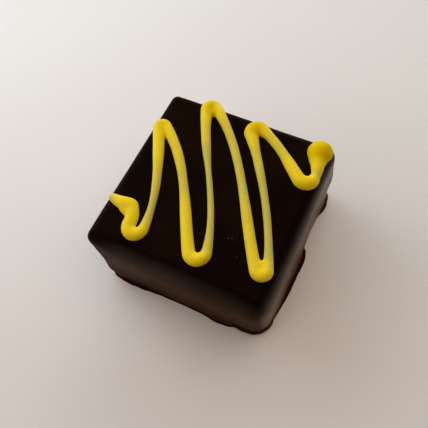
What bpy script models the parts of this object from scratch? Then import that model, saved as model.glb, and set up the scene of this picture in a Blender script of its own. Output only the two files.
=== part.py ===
"""A square chocolate-coated caramel with one line of icing piped in a zigzag across its top.

Sizes are in millimetres and are turned into metres by MM. The origin is the middle of the flat underside, +Z
is up, and -Y and +X are the two sides that show. Corners are named left, front, right and back, as they are
seen.
"""

import math
from typing import NamedTuple

import bmesh
import bpy
import numpy as np

MM = 0.001


class Corner(NamedTuple):
    """One upright edge of the block: where it meets the table and the top, and how round it is."""

    base: tuple
    top: tuple
    base_round: float
    top_round: float
    edge_round: float
    first_angle: float


class Bend(NamedTuple):
    """One turn of the piping: its centre, the radius of the pen's path there, and half the bead's width."""

    x: float
    y: float
    radius: float
    bead: float
    turn: int


class Strand(NamedTuple):
    """One run of the bead between two turns.

    It leaves and reaches its turns at these angles, in degrees to the left of the straight run between them,
    and the beads are its half widths near its start, at its middle and near its end.
    """

    leaves: float
    reaches: float
    beads: tuple


# The coated block
HEIGHT = 17.3
CORNERS = {
    "left": Corner((-14.8, -14.95), (-14.5, -14.4), 1.2, 1.2, 1.9, 180.0),
    "front": Corner((14.55, -14.3), (14.5, -14.4), 3.2, 2.2, 2.1, 270.0),
    "right": Corner((14.55, 15.8), (14.5, 14.4), 2.0, 1.8, 2.1, 0.0),
    "back": Corner((-14.65, 14.8), (-14.5, 14.4), 1.5, 1.2, 1.5, 90.0),
}
SMALLEST_ROUND = 0.25
ARC_STEPS = 7
SIDE_STEPS = 20
WALL_STEPS = 6
EDGE_STEPS = 6
TOP_RING_SCALE = 0.5

# The thin foot of chocolate that ran out onto the belt, as (place round the block, width). Places count
# corners: 0 is the left one, 1 the front, 2 the right and 3 the back one.
FOOT = (
    (0.00, 0.25), (0.06, 0.44), (0.12, 0.50), (0.20, 0.45), (0.30, 0.32), (0.38, 0.22), (0.58, 0.18),
    (0.66, 0.22), (0.77, 0.30), (0.86, 0.20), (0.94, 0.05), (1.00, 0.10), (1.13, 0.32), (1.20, 0.46),
    (1.30, 0.54), (1.42, 0.58), (1.51, 0.72), (1.56, 0.62), (1.59, 0.00), (1.85, 0.00), (1.92, 0.45),
    (1.96, 0.66), (2.00, 0.30), (2.15, 0.45), (2.40, 0.60), (2.60, 0.35), (2.85, 0.55), (3.00, 0.30),
    (3.20, 0.50), (3.55, 0.30), (3.80, 0.50), (4.00, 0.25),
)
# How far the low part of the sides swells out where the coating gathered, as (place, swelling).
SWELLS = (
    (0.00, 0.00), (0.12, 0.13), (0.25, 0.04), (0.40, 0.00), (0.66, 0.02), (0.79, 0.30), (0.86, 0.24),
    (0.93, -0.05), (1.00, 0.00), (1.20, 0.23), (1.35, 0.33), (1.47, 0.36), (1.61, -0.02), (1.72, -0.14),
    (1.82, -0.04), (1.94, 0.18), (2.00, 0.15), (2.40, 0.20), (2.80, 0.05), (3.30, 0.25), (3.70, 0.05),
    (4.00, 0.00),
)
SWELL_TOP = 6.0
# How far down the rounding from the top to the sides reaches, as (place round the block, depth).
EDGE_DEPTHS = (
    (0.00, 1.90), (0.18, 6.50), (0.50, 10.0), (0.85, 9.00), (1.10, 4.20), (1.50, 3.60), (1.85, 3.20),
    (2.00, 2.40), (3.00, 1.50), (4.00, 1.90),
)
FOOT_PROFILE = ((0.0, 0.85), (0.12, 1.0), (0.32, 0.97), (0.48, 0.70), (0.58, 0.28), (0.75, 0.0))

# The piping, from its thin tail at the left edge to the blob at the right corner
TAIL = (-13.4, -7.15)
BLOB = (12.2, 12.15)
TAIL_BEAD = 0.65
BLOB_BEAD = 1.93
BENDS = (
    Bend(-10.15, -7.70, 0.50, 1.05, -1),
    Bend(-7.55, -9.90, 1.20, 1.00, 1),
    Bend(-12.45, 6.90, 0.55, 1.20, -1),
    Bend(2.35, -9.40, 1.45, 0.95, 1),
    Bend(-6.55, 13.05, 0.85, 1.25, -1),
    Bend(11.50, -8.20, 1.00, 0.85, 1),
    Bend(2.25, 11.60, 1.00, 1.35, -1),
    Bend(11.80, 7.40, 1.20, 1.15, 1),
)
STRANDS = (
    Strand(-11.0, 13.5, (0.80, 0.97, 1.15)),
    Strand(20.0, -21.5, (1.00, 1.05, 1.05)),
    Strand(-17.0, 4.5, (0.58, 0.72, 0.93)),
    Strand(19.5, -4.0, (0.82, 0.71, 0.88)),
    Strand(-12.0, -5.5, (0.52, 0.48, 0.77)),
    Strand(16.0, -2.0, (0.71, 0.67, 0.81)),
    Strand(-10.0, 6.0, (0.58, 0.58, 0.71)),
    Strand(14.5, -4.0, (0.78, 0.76, 0.94)),
    Strand(-26.5, -12.0, (0.72, 0.96, 1.42)),
)

# Places along the piping are counted in strands, with a bend's middle at each whole number.
STRAND_PLACES = (0.15, 0.85)
BEAD_PLACES = (0.3, 0.5, 0.7)
STRAND_PITCH = 0.8
BEND_STEP_DEG = 18.0
BEAD_SIDES = 16
BEAD_RISE = 1.25
BEAD_FLATTENING = 4.0
SUNK = 0.45
FOLLOWS_EDGE = 0.6
INNER_SHARE = 0.85
CAP_ANGLES = (30.0, 58.0, 80.0)
POOL_SHARE = 0.8
POOL_LATITUDES = (-60.0, -30.0, 0.0, 25.0, 50.0, 75.0)


def clear_scene():
    """Removes what a new file holds."""
    for item in list(bpy.data.objects):
        bpy.data.objects.remove(item, do_unlink=True)


def material(name, colour, roughness):
    """A plain Principled finish."""
    made = bpy.data.materials.new(name)
    made.use_nodes = True
    shader = made.node_tree.nodes["Principled BSDF"]
    shader.inputs["Base Color"].default_value = (*colour, 1.0)
    shader.inputs["Roughness"].default_value = roughness
    shader.inputs["Metallic"].default_value = 0.0
    return made


def ease(stations, place):
    """Smooth steps through (place, value) stations."""
    places, values = zip(*stations)
    k = int(np.clip(np.searchsorted(places, place, side="right") - 1, 0, len(places) - 2))
    t = min(max((place - places[k]) / (places[k + 1] - places[k]), 0.0), 1.0)
    t = t * t * (3.0 - 2.0 * t)
    return values[k] * (1.0 - t) + values[k + 1] * t


def ring(corners):
    """Points, outward directions and places round a square with corners given as (x, y, radius) rows."""
    points, outward, places = [], [], []
    for k, (x, y, radius) in enumerate(corners):
        first = list(CORNERS.values())[k].first_angle
        centre = np.array([x - math.copysign(radius, x), y - math.copysign(radius, y)])
        for step in range(ARC_STEPS + 1):
            angle = math.radians(first + 90.0 * step / ARC_STEPS)
            out = np.array([math.cos(angle), math.sin(angle)])
            points.append(centre + radius * out)
            outward.append(out)
            places.append(k)
        nx, ny, next_radius = corners[(k + 1) % 4]
        next_angle = math.radians(first + 90.0)
        next_centre = np.array([nx - math.copysign(next_radius, nx), ny - math.copysign(next_radius, ny)])
        out = np.array([math.cos(next_angle), math.sin(next_angle)])
        start, end = points[-1], next_centre + next_radius * out
        for step in range(1, SIDE_STEPS):
            t = step / SIDE_STEPS
            points.append(start * (1.0 - t) + end * t)
            outward.append(out)
            places.append(k + t)
    return np.array(points), np.array(outward), np.array(places)


def wall_corners(heights, insets):
    """The block's four corners at a height each, brought in by an inset each."""
    rows = []
    for corner, z, inset in zip(CORNERS.values(), heights, insets):
        t = z / HEIGHT
        x, y = (corner.base[k] * (1.0 - t) + corner.top[k] * t for k in (0, 1))
        radius = corner.base_round * (1.0 - t) + corner.top_round * t - inset
        rows.append((x - math.copysign(inset, x), y - math.copysign(inset, y), max(radius, SMALLEST_ROUND)))
    return rows


def swelling(places, level):
    """How far the sides swell out at each place and level."""
    low = np.clip(1.0 - level / SWELL_TOP, 0.0, 1.0) ** 2
    return np.array([ease(SWELLS, place) for place in places]) * low


def levels(places, share_of_wall, share_of_edge):
    """The level at each place of a ring, given how far up the wall and the rounding above it the ring is."""
    depth = np.array([ease(EDGE_DEPTHS, place) for place in places])
    foot_top = FOOT_PROFILE[-1][0]
    return foot_top + (HEIGHT - depth - foot_top) * share_of_wall + depth * share_of_edge


def block_rings():
    """The block from its underside up, as rings of 3-D points."""
    rings = []
    flat = [0.0] * 4
    for z, share in FOOT_PROFILE:
        points, outward, places = ring(wall_corners([z] * 4, flat))
        width = np.array([ease(FOOT, place) for place in places]) * share
        points = points + outward * (width + swelling(places, z))[:, None]
        rings.append(np.column_stack([points, np.full(len(points), z)]))
    edge = [corner.edge_round for corner in CORNERS.values()]
    corner_places = range(len(CORNERS))
    for step in range(1, WALL_STEPS):
        share = step / WALL_STEPS
        points, outward, places = ring(wall_corners(levels(corner_places, share, 0.0), flat))
        level = levels(places, share, 0.0)
        points = points + outward * swelling(places, level)[:, None]
        rings.append(np.column_stack([points, level]))
    for step in range(EDGE_STEPS + 1):
        angle = 0.5 * math.pi * step / EDGE_STEPS
        heights = levels(corner_places, 1.0, math.sin(angle))
        insets = [e * (1.0 - math.cos(angle)) for e in edge]
        points, _, places = ring(wall_corners(heights, insets))
        rings.append(np.column_stack([points, levels(places, 1.0, math.sin(angle))]))
    inner = rings[-1].copy()
    inner[:, :2] *= TOP_RING_SCALE
    rings.append(inner)
    return rings


def skin(name, rings, finish):
    """A closed object through rings of equal count, shut by a fan at each end."""
    shape = bmesh.new()
    rows = [[shape.verts.new(point * MM) for point in row] for row in rings]
    count = len(rows[0])
    for low, high in zip(rows, rows[1:]):
        for k in range(count):
            shape.faces.new((low[k], low[(k + 1) % count], high[(k + 1) % count], high[k]))
    for row, turned in ((rows[0], True), (rows[-1], False)):
        tip = shape.verts.new(np.mean([np.array(v.co) for v in row], axis=0))
        for k in range(count):
            pair = (row[k], row[(k + 1) % count])
            shape.faces.new((*(pair[::-1] if turned else pair), tip))
    bmesh.ops.recalc_face_normals(shape, faces=shape.faces)
    bmesh.ops.triangulate(shape, faces=shape.faces)
    mesh = bpy.data.meshes.new(name)
    shape.to_mesh(mesh)
    shape.free()
    mesh.materials.append(finish)
    return bpy.data.objects.new(name, mesh)


def pen_path():
    """The piping's pegs as (x, y, signed radius), and each strand's first and last heading, in radians."""
    pegs = [(*TAIL, 0.0), *((b.x, b.y, b.turn * b.radius) for b in BENDS), (*BLOB, 0.0)]
    headings = []
    for strand, (x1, y1, r1), (x2, y2, r2) in zip(STRANDS, pegs, pegs[1:]):
        belt = math.atan2(y2 - y1, x2 - x1) + math.asin((r1 - r2) / math.hypot(x2 - x1, y2 - y1))
        headings.append((belt + math.radians(strand.leaves), belt + math.radians(strand.reaches)))
    return pegs, headings


def on_peg(peg, heading):
    """Where the pen is on a peg when it moves along a heading."""
    x, y, radius = peg
    return np.array([x + radius * math.sin(heading), y - radius * math.cos(heading)])


def bead_stations():
    """The bead's half width at places along the whole piping."""
    stations = [(STRAND_PLACES[0], TAIL_BEAD)]
    for k, strand in enumerate(STRANDS):
        stations += [(k + place, bead) for place, bead in zip(BEAD_PLACES, strand.beads)]
        if k < len(BENDS):
            stations.append((k + 1.0, BENDS[k].bead))
    stations.append((len(BENDS) + STRAND_PLACES[1], BLOB_BEAD))
    return stations


def run(k, pegs, headings, beads):
    """Stations along strand k, on one cubic curve."""
    (leaving, reaching), first_place, last_place = headings[k], *STRAND_PLACES
    start, end = on_peg(pegs[k], leaving), on_peg(pegs[k + 1], reaching)
    reach = np.linalg.norm(end - start) / 3.0
    handle_1 = start + reach * np.array([math.cos(leaving), math.sin(leaving)])
    handle_2 = end - reach * np.array([math.cos(reaching), math.sin(reaching)])
    steps = max(4, round(3.0 * reach / STRAND_PITCH))
    stations = []
    for step in range(steps + 1):
        t = step / steps
        u = 1.0 - t
        point = start * u**3 + 3.0 * handle_1 * t * u**2 + 3.0 * handle_2 * t**2 * u + end * t**3
        slope = (handle_1 - start) * u**2 + 2.0 * (handle_2 - handle_1) * t * u + (end - handle_2) * t**2
        place = k + first_place + (last_place - first_place) * t
        stations.append((*point, math.atan2(slope[1], slope[0]), 0.0, ease(beads, place)))
    return stations


def half_turn(k, pegs, headings, beads, half):
    """Stations round the first (0) or second (1) half of bend k, without the one that its strand has."""
    peg, heading, next_heading = pegs[k + 1], headings[k][1], headings[k + 1][0]
    side = math.copysign(1.0, peg[2])
    turn = side * ((side * (next_heading - heading)) % (2.0 * math.pi))
    steps = max(2, math.ceil(0.5 * math.degrees(abs(turn)) / BEND_STEP_DEG))
    room = 1.0 - STRAND_PLACES[1]
    stations = []
    for step in range(1 - half, steps + 1 - half):
        t = 0.5 * (half + step / steps)
        direction = heading + turn * t
        place = k + STRAND_PLACES[1] + 2.0 * room * t
        stations.append((*on_peg(peg, direction), direction, 1.0 / peg[2], ease(beads, place)))
    return stations


def strokes():
    """The piping as one stroke for each strand, from the middle of one bend to the middle of the next.

    Each stroke is a list of (x, y, direction, curvature, half width).
    """
    pegs, headings = pen_path()
    beads = bead_stations()
    made = []
    for k in range(len(STRANDS)):
        stroke = half_turn(k - 1, pegs, headings, beads, 1) if k else []
        stroke += run(k, pegs, headings, beads)
        if k < len(BENDS):
            stroke += half_turn(k, pegs, headings, beads, 0)
        made.append(stroke)
    return made


def edge_drop(x, y):
    """How far the block's top has rounded down at a point near its edges."""
    drop = 0.0
    left, right = CORNERS["left"], CORNERS["right"]
    for room in (x - left.top[0], right.top[0] - x, y - left.top[1], right.top[1] - y):
        round_here = CORNERS["back"].edge_round
        if room < round_here:
            across = min(round_here - room, round_here)
            drop = max(drop, round_here - math.sqrt(round_here**2 - across**2))
    return drop


def bead_height(bead):
    """How high a bead stands above what it lies on: a wide one has sunk flatter than a thin one."""
    return BEAD_RISE * bead / (1.0 + bead / BEAD_FLATTENING)


def bead_ring(x, y, direction, curvature, bead, along=0.0, scale=1.0):
    """One cross-section of the bead: half round above, a flatter root below, clear of its own inner side."""
    drop = edge_drop(x, y)
    level = HEIGHT - FOLLOWS_EDGE * drop
    root = (1.0 - FOLLOWS_EDGE) * drop + SUNK
    ahead = np.array([math.cos(direction), math.sin(direction)])
    left = np.array([-ahead[1], ahead[0]])
    points = []
    for side in range(BEAD_SIDES):
        angle = 2.0 * math.pi * (side + 0.5) / BEAD_SIDES
        across = bead * math.cos(angle) * scale
        if curvature > 0.0:
            across = min(across, INNER_SHARE / curvature)
        if curvature < 0.0:
            across = max(across, INNER_SHARE / curvature)
        height = (bead_height(bead) if math.sin(angle) > 0.0 else root) * math.sin(angle) * scale
        place = np.array([x, y]) + ahead * along + left * across
        points.append((*place, level + height))
    return np.array(points)


def stroke_object(name, stroke, finish):
    """One stroke of icing with round ends."""
    rings = []
    for angle in reversed(CAP_ANGLES):
        x, y, direction, _, bead = stroke[0]
        reach = math.radians(angle)
        rings.append(bead_ring(x, y, direction, 0.0, bead, -bead * math.sin(reach), math.cos(reach)))
    rings += [bead_ring(*station) for station in stroke]
    for angle in CAP_ANGLES:
        x, y, direction, _, bead = stroke[-1]
        reach = math.radians(angle)
        rings.append(bead_ring(x, y, direction, 0.0, bead, bead * math.sin(reach), math.cos(reach)))
    return skin(name, rings, finish)


def pool_object(name, bend, finish):
    """The icing that ran together inside a tight turn, as a flattened dome."""
    rings = []
    for latitude in POOL_LATITUDES:
        turn, scale = math.sin(math.radians(latitude)), math.cos(math.radians(latitude))
        level = HEIGHT + turn * (bead_height(bend.bead) if turn > 0.0 else SUNK)
        angles = 2.0 * math.pi * np.arange(BEAD_SIDES) / BEAD_SIDES
        reach = POOL_SHARE * bend.bead * scale
        ring_x, ring_y = bend.x + reach * np.cos(angles), bend.y + reach * np.sin(angles)
        rings.append(np.column_stack([ring_x, ring_y, np.full(BEAD_SIDES, level)]))
    return skin(name, rings, finish)


def fuse(block, pieces):
    """Joins the pieces to the block in one union, applies it and removes the pieces."""
    group = bpy.data.collections.new("icing_strokes")
    bpy.context.scene.collection.children.link(group)
    for piece in pieces:
        group.objects.link(piece)
    union = block.modifiers.new("icing_union", "BOOLEAN")
    union.operation = "UNION"
    union.operand_type = "COLLECTION"
    union.collection = group
    union.solver = "EXACT"
    union.material_mode = "TRANSFER"
    evaluated = block.evaluated_get(bpy.context.evaluated_depsgraph_get())
    fused = bpy.data.meshes.new_from_object(evaluated)
    block.modifiers.clear()
    block.data = fused
    for piece in pieces:
        bpy.data.objects.remove(piece, do_unlink=True)
    bpy.data.collections.remove(group)


def finish_mesh(block):
    """Triangles only, smooth where the surface runs on and sharp at the icing's edge."""
    shape = bmesh.new()
    shape.from_mesh(block.data)
    bmesh.ops.triangulate(shape, faces=shape.faces)
    shape.to_mesh(block.data)
    shape.free()
    block.data.name = block.name
    block.data.shade_smooth()
    block.data.set_sharp_from_angle(angle=math.radians(45.0))


def main():
    """Builds the candy."""
    clear_scene()
    chocolate = material("dark_chocolate", (0.030, 0.014, 0.010), 0.28)
    icing = material("yellow_icing", (0.66, 0.50, 0.05), 0.38)
    block = skin("enrobed_caramel", block_rings(), chocolate)
    bpy.context.scene.collection.objects.link(block)
    pieces = [stroke_object(f"stroke_{k + 1}", stroke, icing) for k, stroke in enumerate(strokes())]
    tight = [bend for bend in BENDS if bend.radius < bend.bead]
    pieces += [pool_object(f"pool_{k + 1}", bend, icing) for k, bend in enumerate(tight)]
    fuse(block, pieces)
    finish_mesh(block)


main()
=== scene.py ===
"""The looks of a square caramel coated in dark chocolate, with a line of yellow icing piped across it.

Sizes are in millimetres and are turned into metres by MM. The origin is the middle of the flat underside,
+Z is up, and the sides at -Y and +X are the two that the camera sees. The coating and the icing repeat the
named sizes of the solid that they stand for, in finer steps.
"""

import logging
import math
from dataclasses import dataclass
from enum import Enum

import bmesh
import bpy
import numpy as np
from mathutils import Matrix, Vector


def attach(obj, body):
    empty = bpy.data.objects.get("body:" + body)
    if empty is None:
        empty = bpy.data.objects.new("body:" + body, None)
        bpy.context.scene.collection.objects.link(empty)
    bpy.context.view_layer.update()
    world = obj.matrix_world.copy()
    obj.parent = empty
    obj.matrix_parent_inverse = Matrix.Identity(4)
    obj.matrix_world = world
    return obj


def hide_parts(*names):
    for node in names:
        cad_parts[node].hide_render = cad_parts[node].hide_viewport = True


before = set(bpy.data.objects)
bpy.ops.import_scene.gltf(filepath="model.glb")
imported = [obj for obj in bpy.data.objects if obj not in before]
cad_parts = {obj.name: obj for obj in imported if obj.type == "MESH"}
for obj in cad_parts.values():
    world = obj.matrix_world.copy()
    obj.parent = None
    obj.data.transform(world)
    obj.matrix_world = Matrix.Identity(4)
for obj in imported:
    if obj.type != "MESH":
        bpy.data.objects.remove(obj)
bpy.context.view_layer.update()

MM = 0.001
BODY = "root"
CAD_NODE = "enrobed_caramel"

# Where the Mix node has its share, its two colours and their blend.
MIX_SHARE = 0
MIX_FIRST = 6
MIX_SECOND = 7
MIX_BLEND = 2
# Which of the view's curves works on all colours alike.
ALL_COLOURS = 3

Pair = tuple[float, float]
Circle = tuple[float, float, float]
Colour = tuple[float, float, float]
Feed = bpy.types.NodeSocket | bpy.types.Material | str | float | tuple[float, ...]

log = logging.getLogger("coated_caramel")


class Slot(Enum):
    """The record's material slots."""

    CHOCOLATE = "dark_chocolate"
    ICING = "yellow_icing"


class Side(Enum):
    """The block's upright corners as the camera sees them, with the angles where their roundings start."""

    LEFT = 180.0
    FRONT = 270.0
    RIGHT = 0.0
    BACK = 90.0


class Turn(Enum):
    """Which way the piping bag went round a bend, seen from above."""

    ANTICLOCKWISE = 1.0
    CLOCKWISE = -1.0


@dataclass(frozen=True)
class BlockCorner:
    """One upright edge of the block: where it meets the table and the top, and how round it is."""

    base: Pair
    top: Pair
    base_round: float
    top_round: float
    edge_round: float


@dataclass(frozen=True)
class Bend:
    """One turn of the piping: its centre, the radius of the nozzle's path there, and half the bead's width.

    The fill is how far from its centre the icing has run together between the two strands, or 0.
    """

    x: float
    y: float
    radius: float
    bead: float
    turn: Turn
    fill: float = 0.0


@dataclass(frozen=True)
class Strand:
    """One run of the bead between two bends.

    It leaves and reaches its bends at these angles, in degrees to the left of the straight run between them.
    The beads are its half widths near its start, at its middle and near its end.
    """

    leaves: float
    reaches: float
    beads: tuple[float, float, float]


CORNERS: dict[Side, BlockCorner] = {
    Side.LEFT: BlockCorner((-14.8, -14.95), (-14.5, -14.4), 1.2, 1.2, 1.9),
    Side.FRONT: BlockCorner((14.55, -14.3), (14.5, -14.4), 3.2, 2.2, 2.1),
    Side.RIGHT: BlockCorner((14.55, 15.8), (14.5, 14.4), 2.0, 1.8, 2.1),
    Side.BACK: BlockCorner((-14.65, 14.8), (-14.5, 14.4), 1.5, 1.2, 1.5),
}

# The foot of chocolate that ran out on the cooling belt, as (place round the block, width). Places count
# corners: 0 is the left one, 1 the front, 2 the right and 3 the back one.
FOOT_WIDTHS: tuple[Pair, ...] = (
    (0.00, 0.25), (0.06, 0.44), (0.12, 0.50), (0.20, 0.45), (0.30, 0.32), (0.38, 0.22), (0.58, 0.18),
    (0.66, 0.22), (0.77, 0.30), (0.86, 0.20), (0.94, 0.05), (1.00, 0.10), (1.13, 0.22), (1.20, 0.32),
    (1.30, 0.38), (1.42, 0.40), (1.51, 0.52), (1.56, 0.48), (1.59, 0.00), (1.85, 0.00), (1.92, 0.30),
    (1.96, 0.44), (2.00, 0.30), (2.15, 0.45), (2.40, 0.60), (2.60, 0.35), (2.85, 0.55), (3.00, 0.30),
    (3.20, 0.50), (3.55, 0.30), (3.80, 0.50), (4.00, 0.25),
)
# How far the sides swell out low down, where the coating gathered, as (place round the block, swelling).
SWELLS: tuple[Pair, ...] = (
    (0.00, 0.00), (0.12, 0.13), (0.25, 0.04), (0.40, 0.00), (0.66, 0.02), (0.79, 0.30), (0.86, 0.24),
    (0.93, -0.05), (1.00, 0.00), (1.20, 0.37), (1.35, 0.49), (1.47, 0.54), (1.61, -0.02), (1.72, -0.14),
    (1.82, -0.04), (1.94, 0.36), (2.00, 0.20), (2.40, 0.20), (2.80, 0.05), (3.30, 0.25), (3.70, 0.05),
    (4.00, 0.00),
)
# How far down the rounding from the top to the sides reaches, as (place round the block, depth).
EDGE_DEPTHS: tuple[Pair, ...] = (
    (0.00, 1.90), (0.18, 6.50), (0.50, 10.0), (0.85, 9.00), (1.10, 4.20), (1.50, 3.60), (1.85, 3.20),
    (2.00, 2.40), (3.00, 1.50), (4.00, 1.90),
)
# The foot's section, as (height, share of its width).
FOOT_SECTION: tuple[Pair, ...] = (
    (0.0, 0.85), (0.12, 1.0), (0.32, 0.97), (0.48, 0.70), (0.58, 0.28), (0.75, 0.0),
)
# How the foot's edge wavers along each side, as (share, pace, start), with the last two in radians.
FOOT_WAVERS: tuple[tuple[float, float, float], ...] = ((0.6, 31.0, 1.0), (0.4, 67.0, 0.0))

TAIL: Pair = (-13.4, -7.15)
BLOB: Pair = (12.2, 12.15)
BENDS: tuple[Bend, ...] = (
    Bend(-10.15, -7.70, 0.50, 1.05, Turn.CLOCKWISE, 1.3),
    Bend(-7.55, -9.90, 1.20, 1.05, Turn.ANTICLOCKWISE),
    Bend(-12.45, 6.90, 0.55, 1.20, Turn.CLOCKWISE),
    Bend(2.43, -9.58, 1.30, 1.02, Turn.ANTICLOCKWISE),
    Bend(-6.55, 13.05, 0.85, 1.25, Turn.CLOCKWISE, 1.3),
    Bend(11.59, -8.38, 0.85, 0.95, Turn.ANTICLOCKWISE, 1.25),
    Bend(2.25, 11.60, 1.00, 1.38, Turn.CLOCKWISE),
    Bend(11.80, 7.40, 1.20, 1.15, Turn.ANTICLOCKWISE),
)
STRANDS: tuple[Strand, ...] = (
    Strand(-11.0, 13.5, (0.80, 0.97, 1.15)),
    Strand(20.0, -21.5, (1.00, 1.05, 1.05)),
    Strand(-17.0, 4.5, (0.58, 0.72, 0.93)),
    Strand(19.5, -4.0, (0.82, 0.71, 0.88)),
    Strand(-12.0, -5.5, (0.52, 0.48, 0.77)),
    Strand(16.0, -2.0, (0.71, 0.67, 0.81)),
    Strand(-10.0, 6.0, (0.58, 0.58, 0.71)),
    Strand(14.5, -4.0, (0.78, 0.76, 0.94)),
    Strand(-26.5, -12.0, (0.72, 0.96, 1.42)),
)


def eased(stations: tuple[Pair, ...] | list[Pair], places: np.ndarray) -> np.ndarray:
    """Values that step smoothly from station to station.

    Args:
        stations: (place, value) pairs in order of place.
        places: Where values are wanted.

    Returns:
        One value for each place.
    """
    at, value = np.array(stations).T
    k = np.clip(np.searchsorted(at, places, side="right") - 1, 0, len(at) - 2)
    t = np.clip((places - at[k]) / (at[k + 1] - at[k]), 0.0, 1.0)
    t = t * t * (3.0 - 2.0 * t)
    return value[k] * (1.0 - t) + value[k + 1] * t


def flowing(stations: tuple[Pair, ...], places: np.ndarray) -> np.ndarray:
    """Values on one smooth curve through stations, for a rounded section.

    Args:
        stations: (place, value) pairs in order of place.
        places: Where values are wanted.

    Returns:
        One value for each place.
    """
    at, value = np.array(stations).T
    slope = np.gradient(value, at)
    k = np.clip(np.searchsorted(at, places, side="right") - 1, 0, len(at) - 2)
    gap = at[k + 1] - at[k]
    t = np.clip((places - at[k]) / gap, 0.0, 1.0)
    start = value[k] * (1.0 + 2.0 * t) + gap * slope[k] * t
    end = value[k + 1] * (3.0 - 2.0 * t) - gap * slope[k + 1] * (1.0 - t)
    return start * (1.0 - t) ** 2 + end * t**2


def brought_in(x: float, y: float, by: float) -> np.ndarray:
    """A point of the block brought in towards its middle along both axes."""
    return np.array([x - math.copysign(by, x), y - math.copysign(by, y)])


def seen_from(azimuth: float, elevation: float) -> Vector:
    """The direction from the candy to a place round it.

    Args:
        azimuth: Degrees round it, with 0 in front of the -Y side and 90 at the +X side.
        elevation: Degrees above the table.

    Returns:
        A vector of length 1.
    """
    a = math.radians(azimuth)
    e = math.radians(elevation)
    return Vector((math.sin(a) * math.cos(e), -math.cos(a) * math.cos(e), math.sin(e)))


@dataclass
class NodeSheet:
    """A node tree that is being laid out."""

    tree: bpy.types.NodeTree

    def feed(self, socket: bpy.types.NodeSocket, value: Feed) -> None:
        """Links a socket to another one, or sets its own value.

        Args:
            socket: An input of a node.
            value: The output that it is linked to, or its own value.
        """
        if isinstance(value, bpy.types.NodeSocket):
            self.tree.links.new(value, socket)
        else:
            socket.default_value = value

    def add(self, kind: str, feeds: dict[str, Feed] | None = None, **settings: object) -> bpy.types.Node:
        """Adds a node.

        Args:
            kind: The node's type.
            feeds: What its inputs take, by name.
            **settings: Its other options.

        Returns:
            The node.
        """
        node = self.tree.nodes.new(kind)
        for name, value in settings.items():
            setattr(node, name, value)
        for name, value in (feeds or {}).items():
            self.feed(node.inputs[name], value)
        return node

    def maths(self, operation: str, *values: Feed) -> bpy.types.NodeSocket:
        """One step of arithmetic.

        Args:
            operation: The Math node's operation.
            *values: Its inputs in order.

        Returns:
            The result's socket.
        """
        node = self.add("ShaderNodeMath", operation=operation)
        for socket, value in zip(node.inputs, values):
            self.feed(socket, value)
        return node.outputs["Value"]

    def noise(self, place: Feed, size: float, seed: float, detail: float = 2.0) -> bpy.types.NodeSocket:
        """Soft noise from 0 to 1 over a place in metres, in patches about size millimetres wide."""
        feeds = {"Vector": place, "W": seed, "Scale": 1.0 / (size * MM), "Detail": detail}
        return self.add("ShaderNodeTexNoise", feeds, noise_dimensions="4D").outputs[0]

    def spread(
        self, value: Feed, low: Feed, high: Feed, to_low: float = 0.0, to_high: float = 1.0
    ) -> bpy.types.NodeSocket:
        """Turns the range from low to high into the one from to_low to to_high, with soft ends."""
        feeds = {"Value": value, "From Min": low, "From Max": high, "To Min": to_low, "To Max": to_high}
        return self.add("ShaderNodeMapRange", feeds, interpolation_type="SMOOTHSTEP").outputs["Result"]

    def blend(self, share: Feed, first: Feed, second: Feed) -> bpy.types.NodeSocket:
        """A colour between two colours.

        Args:
            share: How much of the second colour there is.
            first: The colour at 0.
            second: The colour at 1.

        Returns:
            The colour's socket.
        """
        node = self.add("ShaderNodeMix", data_type="RGBA")
        for index, value in ((MIX_SHARE, share), (MIX_FIRST, first), (MIX_SECOND, second)):
            self.feed(node.inputs[index], value)
        return node.outputs[MIX_BLEND]


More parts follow.
